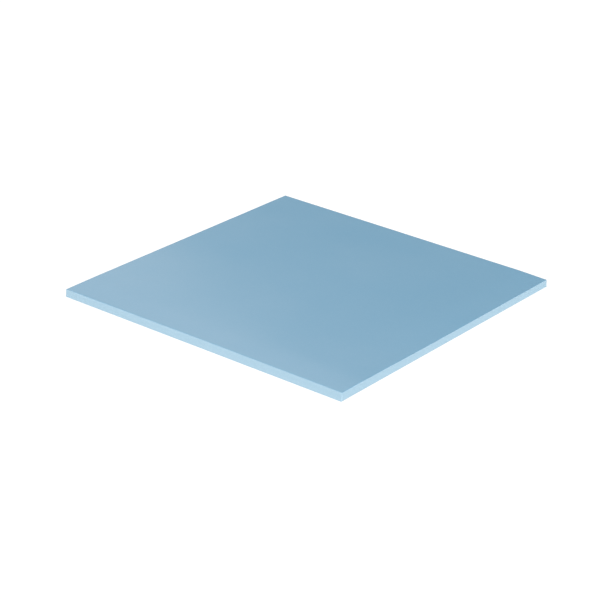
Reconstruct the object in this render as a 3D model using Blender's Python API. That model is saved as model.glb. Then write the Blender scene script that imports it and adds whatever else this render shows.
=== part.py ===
"""A square sheet of soft thermal interface pad, cut from cast stock.

The sheet is one solid piece of ceramic-filled silicone. It lies flat, with its lower face on Z = 0
and the origin at the centre of that face. X and Y run along the cut sides. Sizes are in metres.
"""

import bmesh
import bpy

# The sheet as it is sold: its two cut sides, and the thickness that it is cast to.
SHEET_WIDTH = 0.100
SHEET_LENGTH = 0.100
SHEET_THICKNESS = 0.0025

# The blade leaves each corner of the outline slightly round.
CORNER_RADIUS = 0.0004

# The blade enters from above, so it draws the upper rim over more than the lower one.
UPPER_RIM_RADIUS = 0.00018
LOWER_RIM_RADIUS = 0.0001

# Flats that stand for each quarter round.
CORNER_SEGMENTS = 8
RIM_SEGMENTS = 4

# Linear colour of the pale blue silicone, and its satin skin.
SILICONE_BLUE = (0.242, 0.423, 0.578, 1.0)
SILICONE_ROUGHNESS = 0.35


def clear_scene():
    """Remove whatever the file opened with."""
    for thing in list(bpy.data.objects):
        bpy.data.objects.remove(thing, do_unlink=True)


def make_collection(name):
    """Add a collection to the scene."""
    collection = bpy.data.collections.new(name)
    bpy.context.scene.collection.children.link(collection)
    return collection


def make_silicone():
    """Return the material of the whole sheet."""
    material = bpy.data.materials.new("thermal_silicone")
    material.use_nodes = True
    shader = material.node_tree.nodes["Principled BSDF"]
    shader.inputs["Base Color"].default_value = SILICONE_BLUE
    shader.inputs["Roughness"].default_value = SILICONE_ROUGHNESS
    shader.inputs["Metallic"].default_value = 0.0
    return material


def is_upright(edge):
    """Tell whether an edge runs along the sheet's thickness."""
    first, second = edge.verts
    return abs(first.co.z - second.co.z) > SHEET_THICKNESS / 2


def rim_edges(mesh, height):
    """Return the edges that run round the sheet at one height."""
    return [
        edge
        for edge in mesh.edges
        if all(abs(vert.co.z - height) < LOWER_RIM_RADIUS / 10 for vert in edge.verts)
    ]


def round_edges(mesh, edges, radius, segments):
    """Round a set of edges to one radius."""
    bmesh.ops.bevel(
        mesh,
        geom=edges,
        affect="EDGES",
        offset=radius,
        offset_type="OFFSET",
        segments=segments,
        profile=0.5,
        clamp_overlap=True,
    )


def make_sheet(collection, material):
    """Build the sheet: a box of the full size, with its corners and then its two rims rounded."""
    mesh = bmesh.new()
    bmesh.ops.create_cube(mesh, size=1.0)
    bmesh.ops.scale(mesh, verts=mesh.verts, vec=(SHEET_WIDTH, SHEET_LENGTH, SHEET_THICKNESS))
    bmesh.ops.translate(mesh, verts=mesh.verts, vec=(0.0, 0.0, SHEET_THICKNESS / 2))

    corners = [edge for edge in mesh.edges if is_upright(edge)]
    round_edges(mesh, corners, CORNER_RADIUS, CORNER_SEGMENTS)
    round_edges(mesh, rim_edges(mesh, SHEET_THICKNESS), UPPER_RIM_RADIUS, RIM_SEGMENTS)
    round_edges(mesh, rim_edges(mesh, 0.0), LOWER_RIM_RADIUS, RIM_SEGMENTS)

    data = bpy.data.meshes.new("thermal_pad")
    mesh.to_mesh(data)
    mesh.free()
    data.materials.append(material)
    data.shade_smooth()
    data.set_sharp_from_angle(angle=0.6)

    sheet = bpy.data.objects.new("thermal_pad", data)
    collection.objects.link(sheet)
    return sheet


def main():
    """Build the sheet in a collection of its own."""
    clear_scene()
    make_sheet(make_collection("thermal_pad_sheet"), make_silicone())


main()
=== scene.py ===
"""A square sheet of thermal pad, dressed and lit as a product photographer would show it.

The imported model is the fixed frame. This script lays the finished sheet over its one solid: two cast
faces, four knife-cut sides and the soft rims between them. Sizes are in metres and +Z is up. The
lower face lies on Z = 0, with the origin at its centre.
"""

from __future__ import annotations

import logging
import math
from dataclasses import dataclass, field, fields
from enum import Enum
from typing import Union

import bmesh
import bpy
from mathutils import Matrix, Vector


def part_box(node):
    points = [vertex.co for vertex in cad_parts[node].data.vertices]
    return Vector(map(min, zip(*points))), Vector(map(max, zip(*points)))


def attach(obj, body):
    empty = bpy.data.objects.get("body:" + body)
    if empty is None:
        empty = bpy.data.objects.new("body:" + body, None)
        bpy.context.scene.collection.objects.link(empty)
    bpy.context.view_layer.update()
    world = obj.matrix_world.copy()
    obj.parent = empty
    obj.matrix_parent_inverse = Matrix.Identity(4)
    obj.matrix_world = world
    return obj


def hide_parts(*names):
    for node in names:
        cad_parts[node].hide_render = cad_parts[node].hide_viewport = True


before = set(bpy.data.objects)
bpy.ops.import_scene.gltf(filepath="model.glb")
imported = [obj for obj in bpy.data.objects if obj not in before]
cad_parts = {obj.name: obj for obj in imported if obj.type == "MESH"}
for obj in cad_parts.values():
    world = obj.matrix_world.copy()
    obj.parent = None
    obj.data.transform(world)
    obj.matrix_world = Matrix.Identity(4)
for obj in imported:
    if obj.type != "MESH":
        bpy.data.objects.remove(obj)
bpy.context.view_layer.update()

BODY = "root"
PAD_NODE = "thermal_pad"

Colour = tuple[float, float, float]
Place = tuple[float, float, float]
Operand = Union["Term", bpy.types.NodeSocket, bpy.types.Material, Colour, float]

WHITE: Colour = (1.0, 1.0, 1.0)

log = logging.getLogger("thermal_pad_sheet")


class Kind(Enum):
    """The kinds of named input and output that the node groups have."""

    NUMBER = "NodeSocketFloat"
    WHOLE = "NodeSocketInt"
    VECTOR = "NodeSocketVector"
    COLOUR = "NodeSocketColor"
    MATERIAL = "NodeSocketMaterial"
    GEOMETRY = "NodeSocketGeometry"

    @classmethod
    def of(cls, value: float | int | bpy.types.Material) -> Kind:
        """Return the kind of input that takes a value."""
        kinds = {float: cls.NUMBER, int: cls.WHOLE, bpy.types.Material: cls.MATERIAL}
        return kinds[type(value)]


class Tree(Enum):
    """The two kinds of node group."""

    SHADER = "ShaderNodeTree"
    GEOMETRY = "GeometryNodeTree"


def by_input_name(sizes: object) -> dict[str, object]:
    """Return a dataclass's values by the names of the inputs they feed: cloud_size feeds Cloud Size."""
    return {item.name.replace("_", " ").title(): getattr(sizes, item.name) for item in fields(sizes)}


class Term:
    """A value in a node tree, which can be written into a formula."""

    def __init__(self, graph: Graph, socket: bpy.types.NodeSocket) -> None:
        """Hold the socket that gives the value, and the graph that it is in."""
        self.graph = graph
        self.socket = socket

    def __add__(self, other: Operand) -> Term:
        """Return the sum."""
        return self.graph.math("ADD", self, other)

    def __sub__(self, other: Operand) -> Term:
        """Return what is left after the other value is taken away."""
        return self.graph.math("SUBTRACT", self, other)

    def __rsub__(self, other: Operand) -> Term:
        """Return what is left after this value is taken away from the other."""
        return self.graph.math("SUBTRACT", other, self)

    def __mul__(self, other: Operand) -> Term:
        """Return the product."""
        return self.graph.math("MULTIPLY", self, other)

    def __truediv__(self, other: Operand) -> Term:
        """Return this value divided by the other."""
        return self.graph.math("DIVIDE", self, other)

    def __rtruediv__(self, other: Operand) -> Term:
        """Return the other value divided by this one."""
        return self.graph.math("DIVIDE", other, self)

    __radd__ = __add__
    __rmul__ = __mul__


class Graph:
    """Adds nodes to one tree and wires them together."""

    # A Mix node has sockets for every kind of value. These are the numbers of those for colours.
    MIX_FIRST_COLOUR = 6
    MIX_SECOND_COLOUR = 7
    MIX_COLOUR_RESULT = 2

    def __init__(self, tree: bpy.types.NodeTree) -> None:
        """Start on a tree, keeping whatever it holds.

        Args:
            tree: the tree that the nodes go into.
        """
        self.tree = tree
        self.given: bpy.types.Node | None = None
        self.result: bpy.types.Node | None = None

    @classmethod
    def group(cls, kind: Tree, name: str, inputs: dict[str, Kind], outputs: dict[str, Kind]) -> Graph:
        """Make a node group with a named interface.

        Args:
            kind: what the group is for.
            name: the group's name.
            inputs: the kind of each named input.
            outputs: the kind of each named output.

        Returns:
            The graph of the new group, with its input and output nodes in place.
        """
        graph = cls(bpy.data.node_groups.new(name, kind.value))
        for in_out, sockets in (("INPUT", inputs), ("OUTPUT", outputs)):
            for label, socket_kind in sockets.items():
                graph.tree.interface.new_socket(label, in_out=in_out, socket_type=socket_kind.value)
        graph.given = graph.tree.nodes.new("NodeGroupInput")
        graph.result = graph.tree.nodes.new("NodeGroupOutput")
        return graph

    def node(self, kind: str, inputs: dict[str | int, Operand], **settings: object) -> bpy.types.Node:
        """Add a node.

        Args:
            kind: the node's type.
            inputs: what feeds each input, by the socket's name or number.
            settings: the node's own properties.

        Returns:
            The new node.
        """
        node = self.tree.nodes.new(kind)
        for name, value in settings.items():
            setattr(node, name, value)
        for key, value in inputs.items():
            self.feed(node.inputs[key], value)
        return node

    def feed(self, socket: bpy.types.NodeSocket, value: Operand) -> None:
        """Wire a value into a socket, or set the socket to a plain value.

        Args:
            socket: the input that takes the value.
            value: a term or an output to wire in, or a number, colour or material.
        """
        if isinstance(value, Term):
            self.tree.links.new(value.socket, socket)
        elif isinstance(value, bpy.types.NodeSocket):
            self.tree.links.new(value, socket)
        elif socket.type == "RGBA":
            socket.default_value = (*value, 1.0)
        else:
            socket.default_value = value

    def input(self, name: str) -> Term:
        """Return one of the group's named inputs."""
        return Term(self, self.given.outputs[name])

    def output(self, name: str, value: Operand) -> None:
        """Give one of the group's named outputs its value."""
        self.feed(self.result.inputs[name], value)

    def math(self, operation: str, *operands: Operand) -> Term:
        """Return the result of a Math node."""
        node = self.node("ShaderNodeMath", dict(enumerate(operands)), operation=operation)
        return Term(self, node.outputs["Value"])

    def least(self, first: Operand, second: Operand) -> Term:
        """Return the smaller of two values."""
        return self.math("MINIMUM", first, second)

    def greatest(self, first: Operand, second: Operand) -> Term:
        """Return the larger of two values."""
        return self.math("MAXIMUM", first, second)

    def vector(self, x: Operand, y: Operand, z: Operand) -> Term:
        """Return a vector made of three values."""
        node = self.node("ShaderNodeCombineXYZ", {"X": x, "Y": y, "Z": z})
        return Term(self, node.outputs["Vector"])

    def parts(self, vector: Operand) -> tuple[Term, Term, Term]:
        """Return a vector's X, Y and Z."""
        node = self.node("ShaderNodeSeparateXYZ", {"Vector": vector})
        return tuple(Term(self, node.outputs[axis]) for axis in "XYZ")

    def choose(self, share: Operand, low: Operand, high: Operand) -> Term:
        """Return a value that goes from low to high as the share goes from 0 to 1, and no further."""
        node = self.node("ShaderNodeMix", {"Factor": share, "A": low, "B": high}, data_type="FLOAT")
        return Term(self, node.outputs["Result"])

    def blend(self, share: Operand, low: Operand, high: Operand) -> Term:
        """Return a colour that goes from low to high as the share goes from 0 to 1.

        Args:
            share: how far it is towards the high colour.
            low: the colour at 0.
            high: the colour at 1.

        Returns:
            The colour.
        """
        inputs = {"Factor": share, self.MIX_FIRST_COLOUR: low, self.MIX_SECOND_COLOUR: high}
        node = self.node("ShaderNodeMix", inputs, data_type="RGBA")
        return Term(self, node.outputs[self.MIX_COLOUR_RESULT])

    def ease(self, value: Operand, start: Operand, end: Operand) -> Term:
        """Return a smooth step.

        Args:
            value: what the step follows.
            start: the value up to which the step is 0.
            end: the value from which it is 1.

        Returns:
            The step, from 0 to 1.
        """
        inputs = {"Value": value, "From Min": start, "From Max": end}
        node = self.node("ShaderNodeMapRange", inputs, interpolation_type="SMOOTHSTEP")
        return Term(self, node.outputs["Result"])

    def noise(self, place: Operand, size: Operand, seed: Operand, detail: float) -> Term:
        """Return cloudy noise between 0 and 1.

        Args:
            place: the point that it is read at.
            size: how far it runs before it changes, in metres.
            seed: which noise it is.
            detail: how many finer layers it has.

        Returns:
            The noise at that point.
        """
        inputs = {"Vector": place, "W": seed, "Scale": 1.0 / size, "Detail": detail}
        node = self.node("ShaderNodeTexNoise", inputs, noise_dimensions="4D")
        return Term(self, node.outputs["Fac"])


class SharedEffects:
    """The shader node groups that both finishes of the silicone use.

    A grain shows where its noise passes the two values given here, first faintly and then in full.
    """

    GRAIN_FAINT = 0.52
    GRAIN_FULL = 0.72

    def __init__(self) -> None:
        """Build each group once."""
        self.filler_tone = self._build_filler_tone()
        self.grain = self._build_grain()

    def _build_filler_tone(self) -> bpy.types.NodeTree:
        """Build the silicone's colour: pigment, soft clouds of filler and single pale grains.

        Returns:
            The node group, which gives the colour at a place.
        """
        inputs = {
            "Place": Kind.VECTOR,
            "Pigment": Kind.COLOUR,
            "Filler": Kind.COLOUR,
            "Cloud Size": Kind.NUMBER,
            "Cloud Share": Kind.NUMBER,
            "Grain Size": Kind.NUMBER,
            "Grain Share": Kind.NUMBER,
            "Seed": Kind.NUMBER,
        }
        graph = Graph.group(Tree.SHADER, "filler_tone", inputs, {"Colour": Kind.COLOUR})
        place, seed = graph.input("Place"), graph.input("Seed")
        cloud = graph.noise(place, graph.input("Cloud Size"), seed, detail=3.0)
        grain = graph.noise(place, graph.input("Grain Size"), seed + 1.0, detail=1.0)
        grains = graph.ease(grain, self.GRAIN_FAINT, self.GRAIN_FULL)
        share = cloud * graph.input("Cloud Share") + grains * graph.input("Grain Share")
        graph.output("Colour", graph.blend(share, graph.input("Pigment"), graph.input("Filler")))
        return graph.tree

    def _build_grain(self) -> bpy.types.NodeTree:
        """Build the fine relief that the film or the blade leaves, and the gloss that goes with it.

        Returns:
            The node group, which gives the relief's height and the roughness at a place.
        """
        inputs = {
            "Place": Kind.VECTOR,
            "Relief Size": Kind.NUMBER,
            "Roughness": Kind.NUMBER,
            "Roughness Swing": Kind.NUMBER,
            "Patch Size": Kind.NUMBER,
            "Seed": Kind.NUMBER,
        }
        outputs = {"Height": Kind.NUMBER, "Roughness": Kind.NUMBER}
        graph = Graph.group(Tree.SHADER, "grain", inputs, outputs)
        place, seed = graph.input("Place"), graph.input("Seed")
        graph.output("Height", graph.noise(place, graph.input("Relief Size"), seed, detail=2.0))
        patch = graph.noise(place, graph.input("Patch Size"), seed + 1.0, detail=2.0)
        swing = (patch - 0.5) * graph.input("Roughness Swing")
        graph.output("Roughness", graph.input("Roughness") + swing)
        return graph.tree


class SiliconeShader:
    """One silicone material: a Principled shader with the shared effects in front of it."""

    def __init__(self, name: str) -> None:
        """Start the material, with the point on the surface in metres.

        Args:
            name: the material's name.
        """
        self.material = bpy.data.materials.new(name)
        self.material.use_nodes = True
        self.graph = Graph(self.material.node_tree)
        self.surface = self.material.node_tree.nodes["Principled BSDF"]
        coordinates = self.graph.node("ShaderNodeTexCoord", {})
        self.place = Term(self.graph, coordinates.outputs["Object"])

    def effect(self, tree: bpy.types.NodeTree, finish: CastFace | KnifeCut) -> bpy.types.Node:
        """Place a shared effect, with the finish's own value in each of its inputs.

        Args:
            tree: the effect's node group.
            finish: the finish, whose fields have the names of the inputs.

        Returns:
            The group's node.
        """
        values = {**by_input_name(finish), "Place": self.place}
        names = [item.name for item in tree.interface.items_tree if item.in_out == "INPUT"]
        return self.graph.node("ShaderNodeGroup", {name: values[name] for name in names}, node_tree=tree)

    def set(self, name: str, value: Operand) -> None:
        """Feed one of the Principled shader's inputs."""
        self.graph.feed(self.surface.inputs[name], value)

    def relief(self, height: Operand, depth: float) -> None:
        """Raise the surface by a height from 0 to 1, with its depth in metres."""
        bump = self.graph.node("ShaderNodeBump", {"Height": height, "Distance": depth, "Strength": 1.0})
        self.set("Normal", Term(self.graph, bump.outputs["Normal"]))


@dataclass(frozen=True)
class CastFace:
    """The finish of the two cast faces: satin silicone that took its skin from a smooth film."""

    pigment: Colour = (0.184, 0.385, 0.549)
    filler: Colour = (0.50, 0.60, 0.68)
    cloud_size: float = 0.022
    cloud_share: float = 0.12
    grain_size: float = 0.0003
    grain_share: float = 0.05
    relief_size: float = 0.0005
    relief_depth: float = 0.000002
    roughness: float = 0.145
    roughness_swing: float = 0.04
    patch_size: float = 0.012
    silicone_ior: float = 1.43
    seed: float = 3.0

    def material(self, effects: SharedEffects) -> bpy.types.Material:
        """Make the finish.

        Args:
            effects: the shader groups that the finishes share.

        Returns:
            The finish as a material.
        """
        shader = SiliconeShader("cast_silicone")
        tone = shader.effect(effects.filler_tone, self)
        skin = shader.effect(effects.grain, self)
        shader.set("Base Color", tone.outputs["Colour"])
        shader.set("Roughness", skin.outputs["Roughness"])
        shader.set("IOR", self.silicone_ior)
        shader.relief(skin.outputs["Height"], self.relief_depth)
        return shader.material


@dataclass(frozen=True)
class KnifeCut:
    """The finish of the cut sides: open, chalky silicone with the blade's fine upright lines. Its pale
    tone is partly the silicone's own colour and partly painted light: it also carries the extra
    brightness that the upright sides catch.

    Over the rim, where the blade has dragged the face's skin down, the skin's tone fades out. It is
    whole where the surface faces up, and gone once the normal's upward part is down to the value given.
    So the rim grows paler as it turns from up to the side, and that paling is partly painted light.
    """

    # Paler than the cast face: partly the open silicone's own colour, partly painted light for the
    # brightness the upright sides catch.
    pigment: Colour = (0.373, 0.570, 0.705)
    filler: Colour = (0.70, 0.80, 0.86)
    skin: Colour = (0.205, 0.400, 0.558)
    skin_gone: float = 0.68
    skin_whole: float = 1.0
    skin_roughness: float = 0.2
    cloud_size: float = 0.004
    cloud_share: float = 0.12
    grain_size: float = 0.00022
    grain_share: float = 0.18
    relief_size: float = 0.00025
    relief_depth: float = 0.00002
    line_size: float = 0.0006
    line_stretch: float = 0.12
    line_share: float = 0.6
    roughness: float = 0.62
    roughness_swing: float = 0.12
    patch_size: float = 0.003
    silicone_ior: float = 1.43
    seed: float = 11.0

    def material(self, effects: SharedEffects) -> bpy.types.Material:
        """Make the finish.

        Args:
            effects: the shader groups that the finishes share.

        Returns:
            The finish as a material.
        """
        shader = SiliconeShader("knife_cut_silicone")
        graph = shader.graph
        tone = shader.effect(effects.filler_tone, self)
        crumb = shader.effect(effects.grain, self)
        x, y, z = graph.parts(shader.place)
        along_cut = graph.vector(x, y, z * self.line_stretch)
        lines = graph.noise(along_cut, self.line_size, self.seed, detail=2.0)
        height = graph.choose(self.line_share, crumb.outputs["Height"], lines)
        geometry = graph.node("ShaderNodeNewGeometry", {})
        _, _, up = graph.parts(geometry.outputs["Normal"])
        # The tone pales as the normal turns from up to the side: a soft edge to the skin, and partly
        # painted light.
        skin_share = graph.ease(up, self.skin_gone, self.skin_whole)
        roughness = graph.choose(skin_share, crumb.outputs["Roughness"], self.skin_roughness)
        shader.set("Base Color", graph.blend(skin_share, tone.outputs["Colour"], self.skin))
        shader.set("Roughness", roughness)
        shader.set("IOR", self.silicone_ior)
        shader.relief(height * (1.0 - skin_share), self.relief_depth)
        return shader.material


@dataclass(frozen=True)
class SheetSize:
    """The sheet's own sizes, read from its solid, and the small radii of its outline and rims.

    The upper rim is rounder along the front. That starts over a share of the sheet's width, from the
    left corner, and fades out over a share of its length. The near corner, between front and right,
    is more worn than the others.
    """

    width: float
    length: float
    thickness: float
    upper_corner_radius: float = 0.0002
    near_corner_radius: float = 0.0004
    lower_corner_radius: float = 0.0001
    upper_rim_radius: float = 0.00018
    front_rim_radius: float = 0.00048
    front_rim_start: float = 0.06
    front_rim_fade: float = 0.25
    lower_rim_radius: float = 0.0001

    @classmethod
    def of_node(cls, node: str) -> SheetSize:
        """Return the sizes of a sheet's solid."""
        low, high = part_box(node)
        return cls(high.x - low.x, high.y - low.y, high.z - low.z)


@dataclass(frozen=True)
class SheetRelief:
    """How far the soft sheet departs from a true slab. Each depth only takes silicone away.

    The taper is how much shorter the cut on the right is than the one on the left, as a share.
    The upper face rolls off towards two of its sides: over an ease, at its reach from the side, it
    turns down to a slope, and it keeps that slope to the rim. On the right the slope also grows along
    the side, from none at the front. The blade leaned along the front, so that cut's upper edge lies
    further in than its foot. The lean grows over a share of the width, from none at the left.
    """

    swell_depth: float = 0.00004
    swell_size: float = 0.032
    front_slope: float = 0.0107
    front_reach: float = 0.0119
    front_ease: float = 0.0044
    right_slope: float = 0.024
    right_reach: float = 0.012
    right_ease: float = 0.005
    right_growth: float = 0.05
    taper: float = 0.0075
    ripple_depth: float = 0.00012
    ripple_size: float = 0.005
    ripple_foot_share: float = 0.3
    cut_hollow: float = 0.00004
    cut_reach: float = 0.0015
    front_lean: float = 0.00034
    lean_growth: float = 0.55
    seed: float = 5.0


@dataclass(frozen=True)
class SheetMesh:
    """How finely the sheet is meshed."""

    rim_cells: int = 4
    corner_cells: int = 4
    side_cells: int = 6
    border: float = 0.001
    face_cell: float = 0.0006


@dataclass
class PadSheet:
    """The sheet of thermal pad: its shape from Geometry Nodes, and its two finishes."""

    size: SheetSize
    relief: SheetRelief = field(default_factory=SheetRelief)
    mesh: SheetMesh = field(default_factory=SheetMesh)
    cast_face: CastFace = field(default_factory=CastFace)
    knife_cut: KnifeCut = field(default_factory=KnifeCut)

    def build(self, effects: SharedEffects) -> bpy.types.Object:
        """Make the sheet and hand it to the frame.

        Args:
            effects: the shader groups that the finishes share.

        Returns:
            The sheet as a plain mesh object, in place of its solid.
        """
        values = {
            **by_input_name(self.size),
            **by_input_name(self.mesh),
            **by_input_name(self.relief),
            "Cast Finish": self.cast_face.material(effects),
            "Cut Finish": self.knife_cut.material(effects),
        }
        tree = self._build_tree({name: Kind.of(value) for name, value in values.items()})
        piece = evaluate_tree("pad_sheet", tree, values)
        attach(piece, BODY)
        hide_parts(PAD_NODE)
        return piece

    @staticmethod
    def _build_tree(inputs: dict[str, Kind]) -> bpy.types.NodeTree:
        """Build the tree: a lattice of cells, bent into a slab with round corners and soft rims.

        Args:
            inputs: the kind of each of the tree's named inputs.

        Returns:
            The tree, which gives the finished sheet.
        """
        graph = Graph.group(Tree.GEOMETRY, "cast_sheet", inputs, {"Sheet": Kind.GEOMETRY})
        lattice = SheetLattice(graph)
        placed = lattice.bend(lattice.cells())
        graph.output("Sheet", lattice.finish(placed))
        return graph.tree


class SheetLattice:
    """The steps of the sheet's tree.

    The sheet starts as a box of unit cells. A point's steps are how many cells it lies in from the
    outline, along X and along Y, and from the nearer of the two faces. Each step in from the outline
    is a wanted inset: first along the rim's arc, then across a narrow border, then by even cells.
    """

    EIGHTH_TURN = math.pi / 4

    # This much keeps a corner's reach, which it is divided by, above nothing. It is in metres.
    LEAST_REACH = 1e-9

    def __init__(self, graph: Graph) -> None:
        """Read the sizes that every step uses, and each point's steps and radii.

        Args:
            graph: the graph of the sheet's tree.
        """
        self.graph = graph
        self.cut: Term | None = None
        self.thickness = graph.input("Thickness")
        self.half_width = graph.input("Width") * 0.5
        self.half_length = graph.input("Length") * 0.5
        self.lower_rim = graph.input("Lower Rim Radius")
        self.rim_cells = graph.input("Rim Cells")
        self.border = graph.input("Border")
        self.border_cells = self.rim_cells + graph.input("Corner Cells")
        self.cells_x = self._cells_across(self.half_width)
        self.cells_y = self._cells_across(self.half_length)
        self.cells_z = self.rim_cells * 2.0 + graph.input("Side Cells")
        position = graph.node("GeometryNodeInputPosition", {})
        self.x, self.y, self.z = graph.parts(position.outputs["Position"])
        self.steps_x = self.cells_x * 0.5 - graph.math("ABSOLUTE", self.x)
        self.steps_y = self.cells_y * 0.5 - graph.math("ABSOLUTE", self.y)
        self.steps_z = self.cells_z * 0.5 - graph.math("ABSOLUTE", self.z)

        # The radii change only between the borders and between the rims, so that no border is skewed.
        rightward = self.x / (self.cells_x - self.border_cells * 2.0) + 0.5
        backward = self.y / (self.cells_y - self.border_cells * 2.0) + 0.5
        upward = self.z / graph.input("Side Cells") + 0.5
        near = graph.ease(rightward, 0.0, 1.0) * (1.0 - graph.ease(backward, 0.0, 1.0))
        upper_corner, near_corner = graph.input("Upper Corner Radius"), graph.input("Near Corner Radius")
        upper = graph.choose(near, upper_corner, near_corner)
        self.corner = graph.choose(upward, graph.input("Lower Corner Radius"), upper)
        away = graph.ease(backward, 0.0, graph.input("Front Rim Fade"))
        front = graph.ease(rightward, 0.0, graph.input("Front Rim Start")) * (1.0 - away)
        upper_rim, front_rim = graph.input("Upper Rim Radius"), graph.input("Front Rim Radius")
        self.upper_rim = graph.choose(front, upper_rim, front_rim)

    def _cells_across(self, half: Term) -> Term:
        """Return how many cells cross the sheet: the borders, and even cells between them."""
        core = self.graph.math("CEIL", half / self.graph.input("Face Cell"))
        return (self.border_cells + core) * 2.0

    def cells(self) -> Term:
        """Make the box of unit cells, and remember which of its faces the blade made.

        Returns:
            The box.
        """
        graph = self.graph
        inputs = {
            "Size": graph.vector(self.cells_x, self.cells_y, self.cells_z),
            "Vertices X": self.cells_x + 1.0,
            "Vertices Y": self.cells_y + 1.0,
            "Vertices Z": self.cells_z + 1.0,
        }
        box = graph.node("GeometryNodeMeshCube", inputs)
        normal = graph.node("GeometryNodeInputNormal", {})
        _, _, up = graph.parts(normal.outputs["Normal"])
        whole = {"Geometry": box.outputs["Mesh"]}
        capture = graph.node("GeometryNodeCaptureAttribute", whole, domain="FACE")
        upright = graph.math("LESS_THAN", graph.math("ABSOLUTE", up), 0.5)
        on_rim = graph.math("LESS_THAN", graph.least(self.steps_x, self.steps_y), self.rim_cells)
        capture.capture_items.new("FLOAT", "Cut")
        graph.feed(capture.inputs["Cut"], graph.greatest(upright, on_rim))
        self.cut = Term(graph, capture.outputs["Cut"])
        return Term(graph, capture.outputs["Geometry"])

    def _inset(self, steps: Term, down: Term, rim: Term, half: Term, cells: Term) -> Term:
        """Return how far in from the outline a column of points lies, along one axis.

        Args:
            steps: cells in from the outline along this axis.
            down: how far the point is down the rim's outer arc, from 0 to 1.
            rim: the rim's radius.
            half: half of the sheet's size along this axis.
            cells: how many cells cross the sheet along this axis.

        Returns:
            The inset in metres.
        """
        graph = self.graph
        outermost = graph.math("LESS_THAN", steps, 0.5)
        along = graph.least(steps / self.rim_cells, 1.0)
        angle = (1.0 + along - outermost * down) * self.EIGHTH_TURN
        arc = rim * (1.0 - graph.math("COSINE", angle))
        past_rim = graph.greatest(steps - self.rim_cells, 0.0) / graph.input("Corner Cells")
        border = (self.border - rim) * graph.least(past_rim, 1.0)
        even = (half - self.border) / (cells * 0.5 - self.border_cells)
        return arc + border + even * graph.greatest(steps - self.border_cells, 0.0)

    def bend(self, cells: Term) -> Term:
        """Move the lattice's points to the sheet's surface.

        Args:
            cells: the box of unit cells.

        Returns:
            The sheet's closed surface.
        """
        graph = self.graph
        steps_x, steps_y, steps_z = self.steps_x, self.steps_y, self.steps_z
        sign_x, sign_y = graph.math("SIGN", self.x), graph.math("SIGN", self.y)
        upper = graph.math("GREATER_THAN", self.z, 0.0)
        rim = graph.choose(upper, self.lower_rim, self.upper_rim)
        down = graph.least(steps_z / self.rim_cells, 1.0)

        inset_x = self._inset(steps_x, down, rim, self.half_width, self.cells_x)
        inset_y = self._inset(steps_y, down, rim, self.half_length, self.cells_y)
        height = self._height(graph.least(steps_x, steps_y), steps_z, down, rim, upper)

        # Each square ring of points within a corner's radius is drawn in to an arc.
        gap_x, gap_y = self.corner - inset_x, self.corner - inset_y
        in_corner = graph.math("GREATER_THAN", graph.least(gap_x, gap_y), 0.0)
        reach = graph.greatest(graph.math("SQRT", gap_x * gap_x + gap_y * gap_y), self.LEAST_REACH)
        squeeze = graph.choose(in_corner, 1.0, graph.greatest(gap_x, gap_y) / reach)
        flat_x = sign_x * (self.half_width - self.corner + gap_x * squeeze)
        flat_y = sign_y * (self.half_length - self.corner + gap_y * squeeze)

        # The relief moves each cut in along its own axis, and fades out away from the cut.
        rise = height / self.thickness
        wander = self._cut_relief(flat_x, flat_y, height)
        lean = self._front_lean(flat_x) * rise * graph.math("LESS_THAN", self.y, 0.0)
        inward_x = wander * (1.0 - graph.ease(inset_x, 0.0, graph.input("Cut Reach")))
        inward_y = (wander + lean) * (1.0 - graph.ease(inset_y, 0.0, graph.input("Cut Reach")))
        taper = 1.0 - graph.input("Taper") * (flat_x / graph.input("Width") + 0.5)
        place = graph.vector(
            flat_x - sign_x * inward_x,
            (flat_y - sign_y * inward_y) * taper,
            height - self._face_relief(flat_x, flat_y) * rise,
        )
        moved = graph.node("GeometryNodeSetPosition", {"Geometry": cells, "Position": place})
        return Term(graph, moved.outputs["Geometry"])

    def _height(self, steps_in: Term, steps_z: Term, down: Term, rim: Term, upper: Term) -> Term:
        """Return a point's height before any relief.

        Args:
            steps_in: cells in from the outline.
            steps_z: cells from the nearer face.
            down: how far the point is down the rim's outer arc, from 0 to 1.
            rim: the rim's radius.
            upper: 1 in the upper half of the lattice and 0 in the lower.

        Returns:
            The height above the lower face, in metres.
        """
        graph = self.graph
        along = graph.least(steps_in / self.rim_cells, 1.0)
        arc = rim * (1.0 - graph.math("SINE", (1.0 - down + along) * self.EIGHTH_TURN))
        straight = (self.thickness - self.upper_rim - self.lower_rim) / graph.input("Side Cells")
        level = arc + straight * graph.greatest(steps_z - self.rim_cells, 0.0)
        return graph.choose(upper, level, self.thickness - level)

    def _cut_relief(self, x: Term, y: Term, height: Term) -> Term:
        """Return how far the blade's wander and drag take a cut in from the true outline.

        Args:
            x: the point's place along the width.
            y: the point's place along the length.
            height: the point's height above the lower face.

        Returns:
            The distance in metres.
        """
        graph = self.graph
        rise = height / self.thickness
        place, seed = graph.vector(x, y, height), graph.input("Seed")
        wander = graph.noise(place, graph.input("Ripple Size"), seed, detail=2.0)
        share = graph.choose(rise, graph.input("Ripple Foot Share"), 1.0)
        # The factor of 4 gives the hollow its full depth at half height.
        hollow = graph.input("Cut Hollow") * rise * (1.0 - rise) * 4.0
        return graph.input("Ripple Depth") * wander * share + hollow

    def _front_lean(self, x: Term) -> Term:
        """Return how far in the front cut's upper edge leans.

        Args:
            x: the point's place along the width.

        Returns:
            The distance in metres.
        """
        graph = self.graph
        rightward = x / graph.input("Width") + 0.5
        return graph.input("Front Lean") * graph.ease(rightward, 0.0, graph.input("Lean Growth"))

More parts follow.
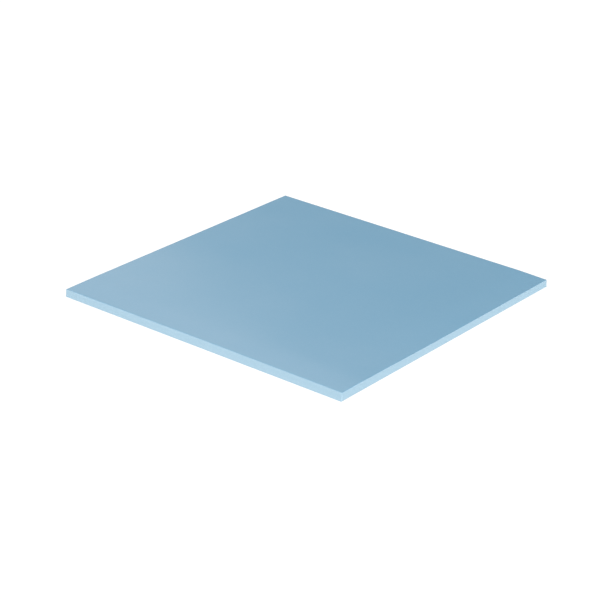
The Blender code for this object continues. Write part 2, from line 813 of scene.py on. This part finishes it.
    def _face_relief(self, x: Term, y: Term) -> Term:
        """Return how far the upper face lies below its full height.

        Args:
            x: the point's place along the width.
            y: the point's place along the length.

        Returns:
            The distance in metres.
        """
        graph = self.graph
        seed = graph.input("Seed") + 1.0
        swell = graph.noise(graph.vector(x, y, 0.0), graph.input("Swell Size"), seed, detail=1.0)
        from_front = self.half_length + y
        growth = graph.ease(from_front, 0.0, graph.input("Right Growth"))
        front = self._roll(from_front, "Front")
        right = self._roll(self.half_width - x, "Right") * growth
        return swell * graph.input("Swell Depth") + front + right

    def _roll(self, inset: Term, side: str) -> Term:
        """Return how far the upper face has rolled off towards one of its sides.

        Args:
            inset: how far in from that side the point lies.
            side: the side's name, as the tree's inputs have it.

        Returns:
            The distance in metres.
        """
        graph = self.graph
        ease = graph.input(side + " Ease")
        past = graph.input(side + " Reach") - inset
        share = graph.least(graph.greatest(past / ease, 0.0), 1.0)
        # The slope grows as a smooth step over the ease, and this is the drop that it adds up to.
        turned = ease * share * share * share * (1.0 - share * 0.5)
        return (turned + graph.greatest(past - ease, 0.0)) * graph.input(side + " Slope")

    def finish(self, sheet: Term) -> Term:
        """Smooth the sheet, realize it and give its faces their two finishes.

        Args:
            sheet: the sheet's closed surface.

        Returns:
            The finished geometry.
        """
        graph = self.graph
        smooth = graph.node("GeometryNodeSetShadeSmooth", {"Geometry": sheet})
        real = graph.node("GeometryNodeRealizeInstances", {"Geometry": smooth.outputs["Geometry"]})
        cast = {"Geometry": real.outputs["Geometry"], "Material": graph.input("Cast Finish")}
        cast_node = graph.node("GeometryNodeSetMaterial", cast)
        cut = {
            "Geometry": cast_node.outputs["Geometry"],
            "Selection": graph.math("GREATER_THAN", self.cut, 0.5),
            "Material": graph.input("Cut Finish"),
        }
        cut_node = graph.node("GeometryNodeSetMaterial", cut)
        return Term(graph, cut_node.outputs["Geometry"])


def evaluate_tree(name: str, tree: bpy.types.NodeTree, values: dict[str, object]) -> bpy.types.Object:
    """Run a Geometry Nodes tree once and keep the result as a plain mesh.

    Args:
        name: the name of the new object.
        tree: the tree to run.
        values: the value of each of its inputs, by name.

    Returns:
        An object at the origin with a mesh of its own and no modifier.
    """
    seed_mesh = bpy.data.meshes.new(name + "_seed")
    maker = bpy.data.objects.new(name + "_maker", seed_mesh)
    bpy.context.scene.collection.objects.link(maker)
    modifier = maker.modifiers.new("shape", "NODES")
    modifier.node_group = tree
    for item in tree.interface.items_tree:
        if item.in_out == "INPUT":
            modifier[item.identifier] = values[item.name]
    maker.update_tag()
    depsgraph = bpy.context.evaluated_depsgraph_get()
    mesh = bpy.data.meshes.new_from_object(maker.evaluated_get(depsgraph))
    bpy.data.objects.remove(maker)
    bpy.data.meshes.remove(seed_mesh)
    mesh.name = name
    # The box of cells brings an empty material slot with it.
    for slot in reversed(range(len(mesh.materials))):
        if mesh.materials[slot] is None:
            mesh.materials.pop(index=slot)
    piece = bpy.data.objects.new(name, mesh)
    bpy.context.scene.collection.objects.link(piece)
    return piece


@dataclass(frozen=True)
class Softbox:
    """A soft light: an evenly bright rectangle that faces the sheet.

    Its lean is how far its right side is raised, as seen from the sheet.
    """

    name: str
    place: Place
    width: float
    height: float
    radiance: float
    tint: Colour = WHITE
    lean_degrees: float = 0.0

    def build(self) -> bpy.types.Object:
        """Make the light, out of the camera's sight.

        Returns:
            The light's object.
        """
        light = bpy.data.lights.new(self.name, "AREA")
        light.shape = "RECTANGLE"
        light.size = self.width
        light.size_y = self.height
        light.energy = self.radiance * self.width * self.height * math.pi
        light.color = self.tint
        lamp = bpy.data.objects.new(self.name, light)
        place = Vector(self.place)
        aim = place.to_track_quat("Z", "Y").to_matrix().to_4x4()
        lean = Matrix.Rotation(math.radians(-self.lean_degrees), 4, "Z")
        lamp.matrix_world = Matrix.Translation(place) @ aim @ lean
        lamp.visible_camera = False
        bpy.context.scene.collection.objects.link(lamp)
        return lamp


@dataclass(frozen=True)
class ProductCamera:
    """The camera that took the photograph, from a fit to the sheet's visible edges."""

    azimuth_degrees: float = 38.14
    elevation_degrees: float = 24.31
    roll_degrees: float = 1.57
    distance: float = 0.5831
    right_of_centre: float = 0.00283
    above_centre: float = 0.00249
    lens_mm: float = 120.0
    sensor_mm: float = 36.0

    def build(self) -> bpy.types.Object:
        """Make the camera and give it to the scene.

        Returns:
            The camera's object.
        """
        azimuth = math.radians(self.azimuth_degrees)
        elevation = math.radians(self.elevation_degrees)
        level = math.cos(elevation)
        back = Vector((math.sin(azimuth) * level, -math.cos(azimuth) * level, math.sin(elevation)))
        right = Vector((0.0, 0.0, 1.0)).cross(back).normalized()
        up = back.cross(right)
        axes = Matrix((right, up, back)).transposed().to_4x4()
        roll = Matrix.Rotation(math.radians(self.roll_degrees), 4, "Z")
        turned = axes @ roll
        offset = Vector((-self.right_of_centre, -self.above_centre, self.distance))
        camera = bpy.data.objects.new("product_camera", bpy.data.cameras.new("product_camera"))
        camera.data.lens = self.lens_mm
        camera.data.sensor_width = self.sensor_mm
        camera.matrix_world = Matrix.Translation(turned.to_3x3() @ offset) @ turned
        bpy.context.scene.collection.objects.link(camera)
        bpy.context.scene.camera = camera
        return camera


@dataclass
class Studio:
    """The plain studio: a glowing table, a white backdrop, soft lights, a dim room and the camera."""

    camera: ProductCamera = field(default_factory=ProductCamera)
    floor_half: float = 6.0
    floor_tone: float = 0.08
    floor_glow: float = 0.99
    floor_drop: float = 0.00001
    room_radiance: float = 0.2
    backdrop_radiance: float = 1.05
    lights: tuple[Softbox, ...] = (
        Softbox("overhead", place=(0.55, -0.10, 1.8), width=2.6, height=2.6, radiance=1.53),
        Softbox("front_left", place=(-0.65, -1.60, 0.80), width=2.4, height=1.5, radiance=1.29),
        Softbox("front_right", place=(1.70, -0.60, 0.80), width=2.2, height=1.5, radiance=1.67),
        Softbox(
            "rear_sheen",
            place=(-1.886, 1.447, 1.529),
            width=1.6,
            height=1.3,
            radiance=0.82,
            tint=(1.0, 0.90, 0.82),
            lean_degrees=47.0,
        ),
        Softbox(
            "rear_fill",
            place=(-2.176, 1.982, 1.924),
            width=2.4,
            height=1.8,
            radiance=0.19,
            lean_degrees=42.6,
        ),
    )

    def build(self) -> None:
        """Make everything that isn't the sheet."""
        self.camera.build()
        self._build_floor()
        self._build_room()
        for light in self.lights:
            light.build()
            log.info("light %s: %.2f x %.2f m", light.name, light.width, light.height)
        bpy.context.scene.view_settings.view_transform = "Standard"

    def _build_floor(self) -> None:
        """Make the matt floor that the sheet lies on: a light table, evenly lit from below."""
        grid = bmesh.new()
        bmesh.ops.create_grid(grid, x_segments=1, y_segments=1, size=self.floor_half)
        bmesh.ops.translate(grid, verts=grid.verts, vec=(0.0, 0.0, -self.floor_drop))
        mesh = bpy.data.meshes.new("floor")
        grid.to_mesh(mesh)
        grid.free()
        material = bpy.data.materials.new("light_table")
        material.use_nodes = True
        surface = material.node_tree.nodes["Principled BSDF"]
        values = {
            "Base Color": (self.floor_tone, self.floor_tone, self.floor_tone),
            "Roughness": 1.0,
            "Specular IOR Level": 0.0,
            "Emission Color": WHITE,
            "Emission Strength": self.floor_glow,
        }
        graph = Graph(material.node_tree)
        for name, value in values.items():
            graph.feed(surface.inputs[name], value)
        mesh.materials.append(material)
        floor = bpy.data.objects.new("floor", mesh)
        bpy.context.scene.collection.objects.link(floor)

    def _build_room(self) -> None:
        """Make the even dim light of the room, which the camera sees as a white backdrop."""
        world = bpy.data.worlds.new("room")
        world.use_nodes = True
        background = world.node_tree.nodes["Background"]
        graph = Graph(world.node_tree)
        graph.feed(background.inputs["Color"], WHITE)
        path = graph.node("ShaderNodeLightPath", {})
        seen = Term(graph, path.outputs["Is Camera Ray"])
        strength = graph.choose(seen, self.room_radiance, self.backdrop_radiance)
        graph.feed(background.inputs["Strength"], strength)
        bpy.context.scene.world = world


def main() -> None:
    """Build the studio and the sheet, and report each piece."""
    logging.basicConfig(level=logging.INFO, format="%(name)s: %(message)s")
    Studio().build()
    piece = PadSheet(SheetSize.of_node(PAD_NODE)).build(SharedEffects())
    triangles = sum(len(polygon.vertices) - 2 for polygon in piece.data.polygons)
    log.info("%s: %d triangles, %d materials", piece.name, triangles, len(piece.data.materials))


if __name__ == "__main__":
    main()
